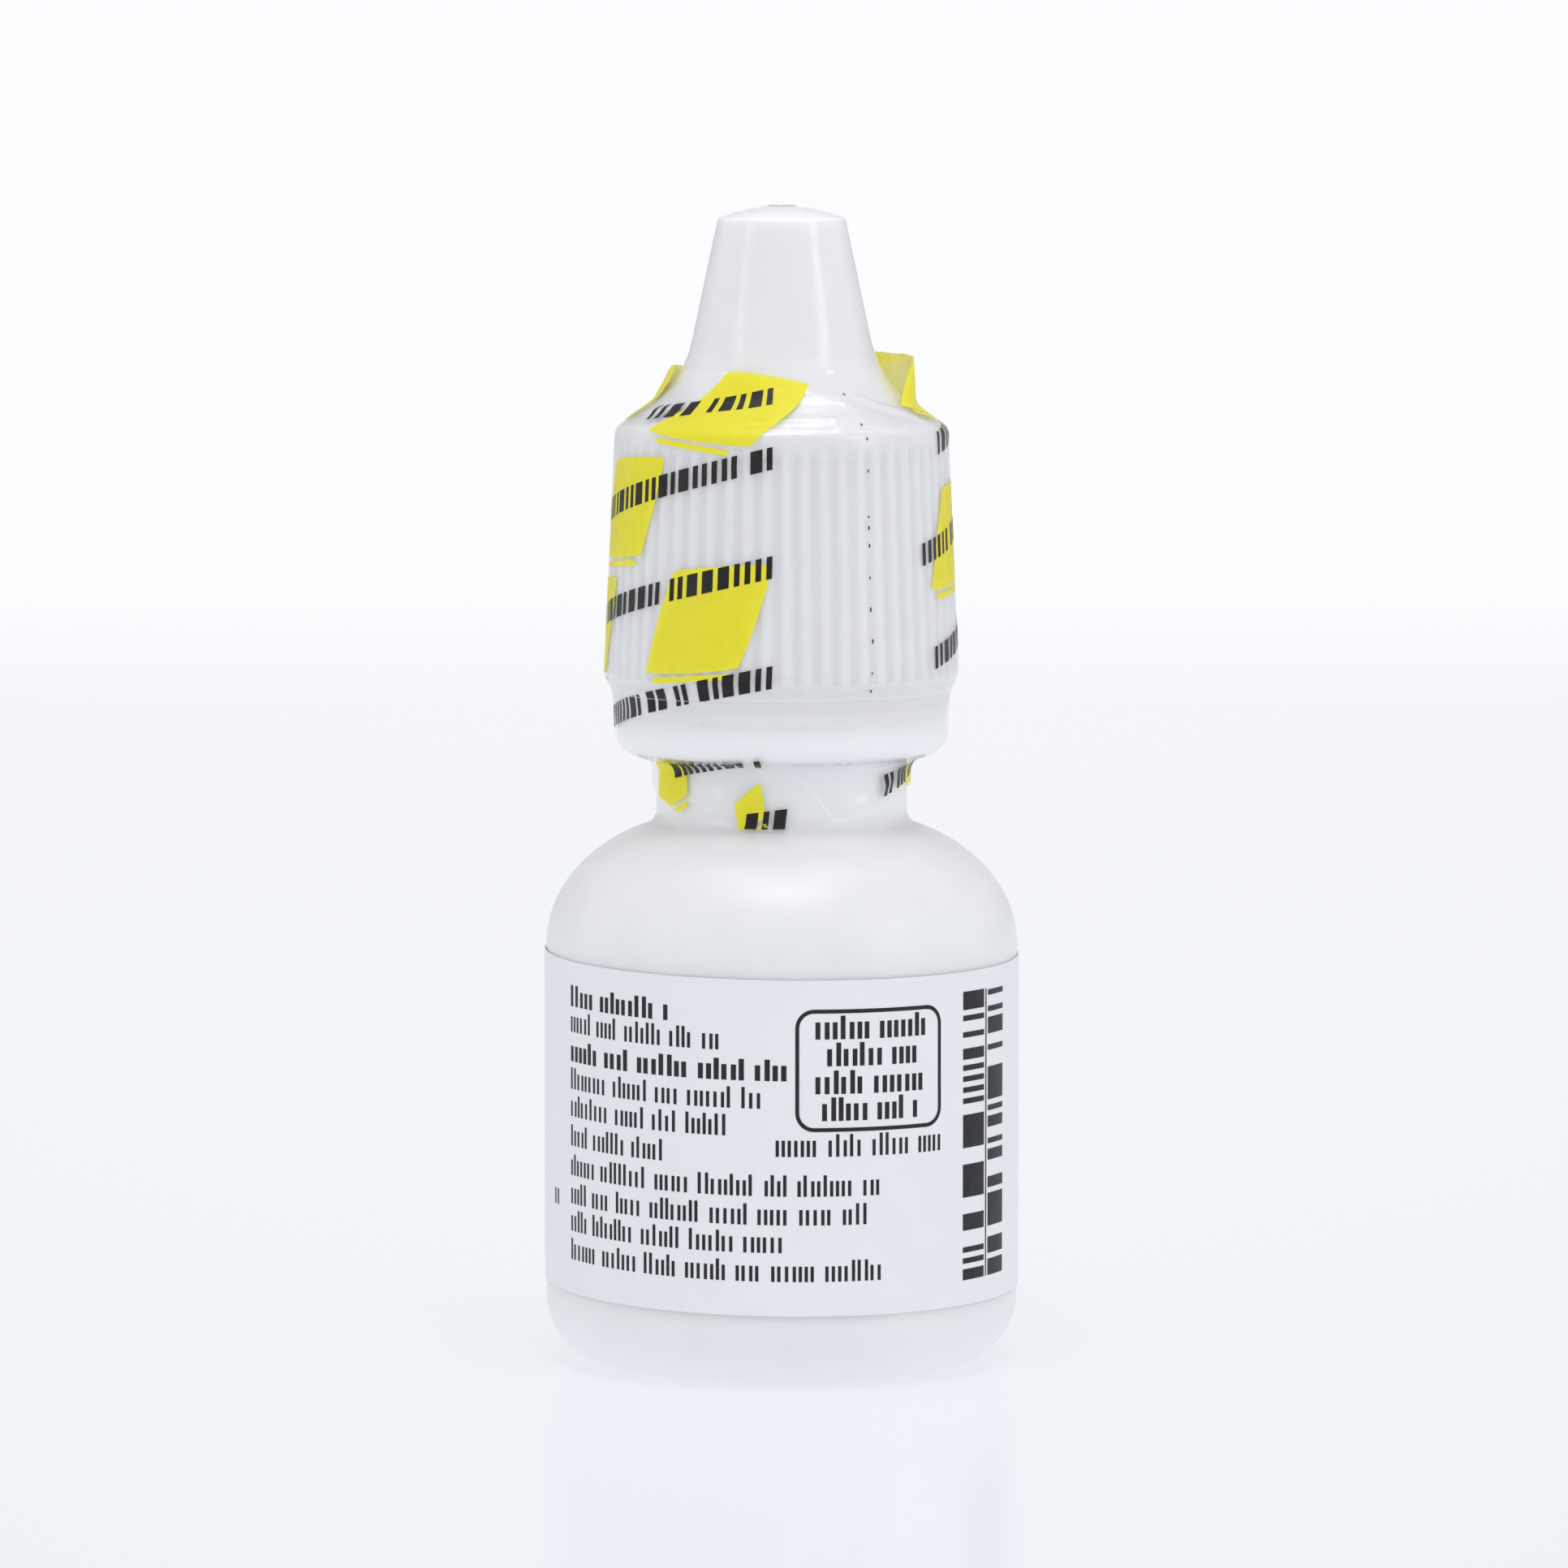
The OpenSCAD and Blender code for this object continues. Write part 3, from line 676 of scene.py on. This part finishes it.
# Dash rows: direction and length up the film of the right end, length of the row and slant, in degrees and mm
dash_rows = []
dash_half_tall, dash_lean = 0.55, 0.25
chance = random.Random(7)
for right_deg, right_s, length, slant in (
        (-3.0, 12.35, 12.6, 14.0), (-3.0, 6.9, 13.2, 13.0), (-3.0, 1.4, 13.0, 12.0), (-4.0, 16.4, 6.4, 14.0),
        (-8.0, -3.6, 6.2, 12.0), (2.0, -7.35, 2.1, 8.0), (150.0, 10.6, 14.6, 13.0), (150.0, 5.0, 14.8, 12.0),
        (148.0, -2.9, 14.0, 12.0), (150.0, 15.0, 10.5, 12.0), (262.0, 12.4, 13.6, 13.0), (262.0, 7.0, 13.8, 13.0),
        (262.0, 1.5, 13.4, 12.0), (258.0, -3.4, 11.6, 12.0), (256.0, 16.2, 7.0, 12.0)):
    on_row = laid_out(right_deg, right_s, slant)
    gone = 0.0
    while gone < length:
        dash = chance.choice((0.3, 0.3, 0.3, 0.62))
        dash_rows.append(bar(*on_row(-(gone + dash / 2), 0.0), dash / 2, dash_half_tall, slant, dash_lean))
        gone += dash + chance.choice((0.22, 0.22, 0.26, 0.26, 0.26, 0.7))

yellow_proud, holes_proud, black_proud = 0.012, 0.014, 0.020
printed("yellow_print_sleeve", lozenges, tear_line, top_edge, yellow_proud, yellow_ink, "cap")
printed("black_print_sleeve", dash_rows, tear_line, top_edge, black_proud, black_ink, "cap")
printed("yellow_print_ring", lozenges, hem, torn_edge, yellow_proud, yellow_ink, "torn_ring")
printed("black_print_ring", dash_rows, hem, torn_edge, black_proud, black_ink, "torn_ring")

# The pin holes are tiny black ink specks on the film: painted shade where the holes would be.
painted_hole_specks, hole_half_wide = [], 0.05
s = 0.6
while s < top_at - 0.3:
    hole_deg, hole_half_tall = 30.4 + chance.uniform(-0.35, 0.35), chance.uniform(0.06, 0.13)
    painted_hole_specks.append(spot(hole_deg, s, hole_half_wide, hole_half_tall, 0.0, 2.0))
    s += chance.choice((0.55, 0.9, 1.6, 2.3))
printed("painted_pin_hole_shade", painted_hole_specks, tear_line, top_edge, holes_proud, black_ink, "cap")


# The label: a thin translucent white film with a satin face, wound once round the straight body and held by its
# own adhesive, with a bare seam at the back. It was put on a little askew, and its upper edge lifts slightly.

label_r, label_thick, label_low, label_high, label_end_deg = 12.06, 0.09, 3.9, 20.8, 170.5


def label_point(deg, z, out):
    """A point of the label, out mm proud of its inner face, with its skew and its lifting upper edge."""
    a = math.radians(deg)
    skew = 0.24 * (1 - math.cos(a)) - 0.16 * math.sin(a)
    lift = 0.015 * max(0.0, (z - label_high + 0.45) / 0.45) ** 2 * abs(math.sin(a))
    r = label_r + out + lift - 0.005 + 0.005 * math.sin(6 * a) * math.sin(z * 0.8)
    return (r * math.sin(a), -r * math.cos(a), z + skew)


label_rows = [label_low + (label_high - label_low) * i / 60 for i in range(61)]
label_degs = [label_end_deg * (2 * k / 340 - 1) for k in range(341)]
label_vertices = [label_point(deg, z, label_thick * face) for face in (0, 1) for z in label_rows for deg in label_degs]
wide, layer = len(label_degs), len(label_rows) * len(label_degs)
label_faces = []
for i in range(len(label_rows) - 1):
    for k in range(wide - 1):
        a, b = i * wide + k, (i + 1) * wide + k
        label_faces += [(a, b, b + 1, a + 1), (layer + a, layer + a + 1, layer + b + 1, layer + b)]
top = (len(label_rows) - 1) * wide
for k in range(wide - 1):
    label_faces += [(k, k + 1, layer + k + 1, layer + k), (top + k, layer + top + k, layer + top + k + 1, top + k + 1)]
for i in range(len(label_rows) - 1):
    a, b = i * wide, (i + 1) * wide
    label_faces += [(a, layer + a, layer + b, b)]
    a, b = a + wide - 1, b + wide - 1
    label_faces += [(a, b, layer + b, layer + a)]

label_film, label_tree, label_face = shader("label_film")
label_tree.links.new(clouded(label_tree, 420.0, (0.782, 0.791, 0.818), (0.766, 0.776, 0.805)),
                     label_face.inputs["Base Color"])
label_fine = cloudy(label_tree, 2200.0, 3.0)
label_tree.links.new(between(label_tree, label_fine, 0.3, 0.7, 0.38, 0.5), label_face.inputs["Roughness"])
label_tree.links.new(grain(label_tree, label_fine, 0.006 * mm, 0.3), label_face.inputs["Normal"])
label = new_piece("label_film_wrap", label_vertices, label_faces, label_film, 60.0)
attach(label, "bottle")
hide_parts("label")


# The label's print: generic dark grey marks, printed flat on the film. They are rows of short upright ticks of two
# weights, a round-cornered frame with four such rows, and two columns of plain stripes.

grey_ink = ink("grey_label_ink", (0.016, 0.016, 0.018), (0.025, 0.025, 0.027), 0.97, 0.0)
print_out = label_thick + 0.012
marks, mark_faces = [], []


def mark(deg0, deg1, z0, z1):
    """A printed patch between two directions and two heights."""
    parts = max(1, math.ceil((deg1 - deg0) / 1.5))
    first = len(marks)
    for i in range(parts + 1):
        deg = deg0 + (deg1 - deg0) * i / parts
        marks.append(label_point(deg, z0, print_out))
        marks.append(label_point(deg, z1, print_out))
    for i in range(parts):
        a = first + 2 * i
        mark_faces.append((a, a + 2, a + 3, a + 1))


# How many degrees round the label make a mm
per_mm = math.degrees(1 / 12.2)
dice = random.Random(21)


def tick_row(deg0, deg1, z, tall, weight):
    """A row of ticks in short groups. z is its foot, tall its usual height and weight a tick's width in mm."""
    deg = deg0
    while deg < deg1 - 0.6 * per_mm:
        ticks = dice.choice((4, 5, 6, 7, 9))
        for _ in range(ticks):
            if deg > deg1 - weight * per_mm:
                break
            high = tall * dice.choice((1.0, 1.0, 1.0, 1.38))
            mark(deg, deg + weight * per_mm, z, z + high)
            deg += (weight + dice.choice((0.13, 0.16, 0.22))) * per_mm
        deg += 0.42 * per_mm


fine_tick, bold_tick = 0.17, 0.25
for deg1, z, weight in ((-26.0, 18.55, bold_tick), (-15.0, 17.25, fine_tick), (2.0, 15.75, 0.27),
                        (-4.5, 14.35, fine_tick), (-12.0, 12.95, fine_tick), (-29.5, 11.45, fine_tick),
                        (25.5, 9.95, fine_tick), (22.0, 8.5, fine_tick), (3.0, 7.1, fine_tick),
                        (26.5, 5.65, fine_tick)):
    tick_row(-61.2, deg1, z, 0.78, weight)
for deg0, deg1, z in ((8.0, 38.0, 17.85), (10.8, 34.0, 16.5), (8.0, 36.6, 15.1), (9.6, 36.0, 13.75)):
    tick_row(deg0, deg1, z, 0.86, bold_tick)
tick_row(-1.4, 19.0, 11.95, 0.82, fine_tick)
tick_row(22.0, 41.2, 11.95, 0.82, fine_tick)
tick_row(-71.5, -68.0, 8.2, 0.8, 0.2)
back_top, back_step, back_tall, back_tick = 18.0, 1.35, 0.7, 0.16
for row in range(9):
    z = back_top - back_step * row
    tick_row(94.0, 152.0 - 9.0 * (row in (2, 5, 8)), z, back_tall, back_tick)
    tick_row(-156.0, -99.0 - 11.0 * (row in (3, 6)), z, back_tall, back_tick)

frame_line, frame_corner_r = 0.2, 0.85
frame_left, frame_right, frame_low, frame_high = 3.7, 40.7, 13.3, 19.25
frame_path = []
for i, (deg, z) in enumerate(((frame_left, frame_low), (frame_right, frame_low), (frame_right, frame_high),
                              (frame_left, frame_high))):
    to_mid = (1 if deg == frame_left else -1, 1 if z == frame_low else -1)
    centre = (deg + to_mid[0] * frame_corner_r * per_mm, z + to_mid[1] * frame_corner_r)
    for k in range(9):
        a = math.radians(180 + 90 * i + 90 * k / 8)
        frame_path.append((centre, math.cos(a), math.sin(a)))
frame_points = []
for (c0, x0, y0), (c1, x1, y1) in zip(frame_path, frame_path[1:] + frame_path[:1]):
    frame_points.append((c0, x0, y0))
    parts = math.ceil(max(abs(c1[0] - c0[0]) / 1.5, abs(c1[1] - c0[1]) / 1.0))
    for k in range(1, parts):
        t = k / parts
        frame_points.append(((c0[0] + (c1[0] - c0[0]) * t, c0[1] + (c1[1] - c0[1]) * t), x0, y0))
first = len(marks)
for (deg, z), x, y in frame_points:
    for r in (frame_corner_r - frame_line / 2, frame_corner_r + frame_line / 2):
        marks.append(label_point(deg + r * x * per_mm, z + r * y, print_out))
for i in range(len(frame_points)):
    a, b = first + 2 * i, first + 2 * ((i + 1) % len(frame_points))
    mark_faces.append((a, a + 1, b + 1, b))

stripe_low, stripe_high, stripe_unit = 5.15, 19.8, 0.28
mark(57.95, 58.45, stripe_low, stripe_high)
for deg0, deg1 in ((48.8, 57.3), (59.1, 67.2)):
    z = stripe_low
    while z < stripe_high - 0.2:
        stripe = stripe_unit * dice.choice((1, 1, 1, 1, 2, 3, 6))
        mark(deg0, deg1, z, min(stripe_high, z + stripe))
        z += stripe + stripe_unit * dice.choice((1, 1, 2, 3))

label_print = new_piece("label_print", marks, mark_faces, grey_ink, 89.0)
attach(label_print, "bottle")


# The stage: a pale sheet on a table, which glows as a light from below that lights the bottle's foot and thins its
# shadow, a white wall far behind it, two tall strip lamps in front on either side and two soft boxes above. The camera
# stands 434 mm away and 68 mm above the table, and looks down by 5.1 degrees.

sheet_white, sheet_tree, sheet = shader("pale_sheet")
sheet_half_wide, sheet_front, sheet_back = 2.5, -1.2, 0.57
sheet_y = own_axes(sheet_tree)["Y"]
sheet_rays = sheet_tree.nodes.new("ShaderNodeLightPath").outputs
sheet.inputs["Base Color"].default_value = (0.80, 0.82, 0.86, 1)
sheet.inputs["Roughness"].default_value = 0.2
sheet.inputs["Specular IOR Level"].default_value = 0.5
# The sheet's glow is light from below that lights the bottle's foot: brighter for diffuse rays, and paler towards the
# back.
glow = sheet_tree.nodes.new("ShaderNodeEmission")
far_share = between(sheet_tree, sheet_y, -0.10, 0.45, 0.0, 1.0)
sheet_tree.links.new(two_tones(sheet_tree, far_share, (0.86, 0.885, 0.935), (0.955, 0.965, 0.985)),
                     glow.inputs["Color"])
sheet_tree.links.new(between(sheet_tree, sheet_rays["Is Diffuse Ray"], 0.0, 1.0, 1.02, 1.22), glow.inputs["Strength"])
seen_share = between(sheet_tree, sheet_rays["Is Camera Ray"], 0.0, 1.0, 0.80, 0.60)
soft_edge = between(sheet_tree, sheet_y, 0.42, sheet_back, 0.0, 0.33)
lit_from_below = blended(sheet_tree, reckoned(sheet_tree, "ADD", seen_share, soft_edge), sheet.outputs["BSDF"],
                         glow.outputs["Emission"])
sheet_tree.links.new(lit_from_below, sheet_tree.nodes["Material Output"].inputs["Surface"])
sheet_mesh = bpy.data.meshes.new("table_sheet")
sheet_mesh.from_pydata([(-sheet_half_wide, sheet_front, 0), (sheet_half_wide, sheet_front, 0),
                        (sheet_half_wide, sheet_back, 0), (-sheet_half_wide, sheet_back, 0)], [], [(0, 1, 2, 3)])
sheet_mesh.materials.append(sheet_white)
table = bpy.data.objects.new("table_sheet", sheet_mesh)
bpy.context.scene.collection.objects.link(table)

world = bpy.data.worlds.new("studio")
bpy.context.scene.world = world
world.use_nodes = True
room = world.node_tree
room.nodes.clear()


def backdrop(colour, strength):
    """One look of the room's walls, as a Background node's output."""
    side = room.nodes.new("ShaderNodeBackground")
    side.inputs["Color"].default_value = (*colour, 1)
    side.inputs["Strength"].default_value = strength
    return side.outputs["Background"]


rays = room.nodes.new("ShaderNodeLightPath").outputs
way_y = own_axes(room, "Generated")["Y"]
grey_part = reckoned(room, "MULTIPLY", between(room, way_y, 0.40, 0.60, 0.0, 1.0),
                     between(room, way_y, 0.965, 0.985, 1.0, 0.0))
white_wall = backdrop((0.975, 0.98, 0.995), 1.0)
mirrored = blended(room, grey_part, white_wall, backdrop((0.90, 0.91, 0.94), 0.5))
look = blended(room, rays["Is Glossy Ray"], backdrop((0.97, 0.98, 1.0), 0.66), mirrored)
look = blended(room, rays["Is Transmission Ray"], look, white_wall)
look = blended(room, rays["Is Camera Ray"], look, white_wall)
room.links.new(look, room.nodes.new("ShaderNodeOutputWorld").inputs["Surface"])


def lamp(name, azimuth, distance, height, size, watts, aim_z):
    """A flat softbox that faces the bottle from an azimuth, 0 in front and positive to the right."""
    data = bpy.data.lights.new(name, "AREA")
    data.shape = "RECTANGLE"
    data.size, data.size_y = size
    data.energy = watts
    holder = bpy.data.objects.new(name, data)
    a = math.radians(azimuth)
    holder.location = (distance * math.sin(a), -distance * math.cos(a), height)
    to = (-holder.location.x, -holder.location.y, aim_z - holder.location.z)
    tilt = math.atan2(math.hypot(to[0], to[1]), -to[2])
    holder.rotation_euler = (tilt, 0, math.atan2(to[1], to[0]) - math.pi / 2)
    bpy.context.scene.collection.objects.link(holder)


strip_size = (0.20, 0.70)
lamp("strip_left", -59.0, 0.8, 0.30, strip_size, 0.58, 0.05)
lamp("strip_right", 59.0, 0.8, 0.30, strip_size, 1.06, 0.05)
lamp("box_above", 0.0, 0.30, 0.85, (0.50, 0.16), 1.65, 0.03)
lamp("box_over", 180.0, 0.06, 0.90, (0.60, 0.30), 1.45, 0.03)

film_gate, focal_px, photo_px, look_down_deg = 36.0, 10500.0, 1932.0, 5.1
camera_data = bpy.data.cameras.new("camera")
camera_data.sensor_width = film_gate
camera_data.lens = film_gate * focal_px / photo_px
camera_data.clip_start = 0.01
camera_data.clip_end = 20.0
camera = bpy.data.objects.new("camera", camera_data)
camera.location = (0.000124, -0.43406, 0.06829)
camera.rotation_euler = (math.radians(90 - look_down_deg), 0, 0)
bpy.context.scene.collection.objects.link(camera)
bpy.context.scene.camera = camera
bpy.context.scene.view_settings.view_transform = "Standard"
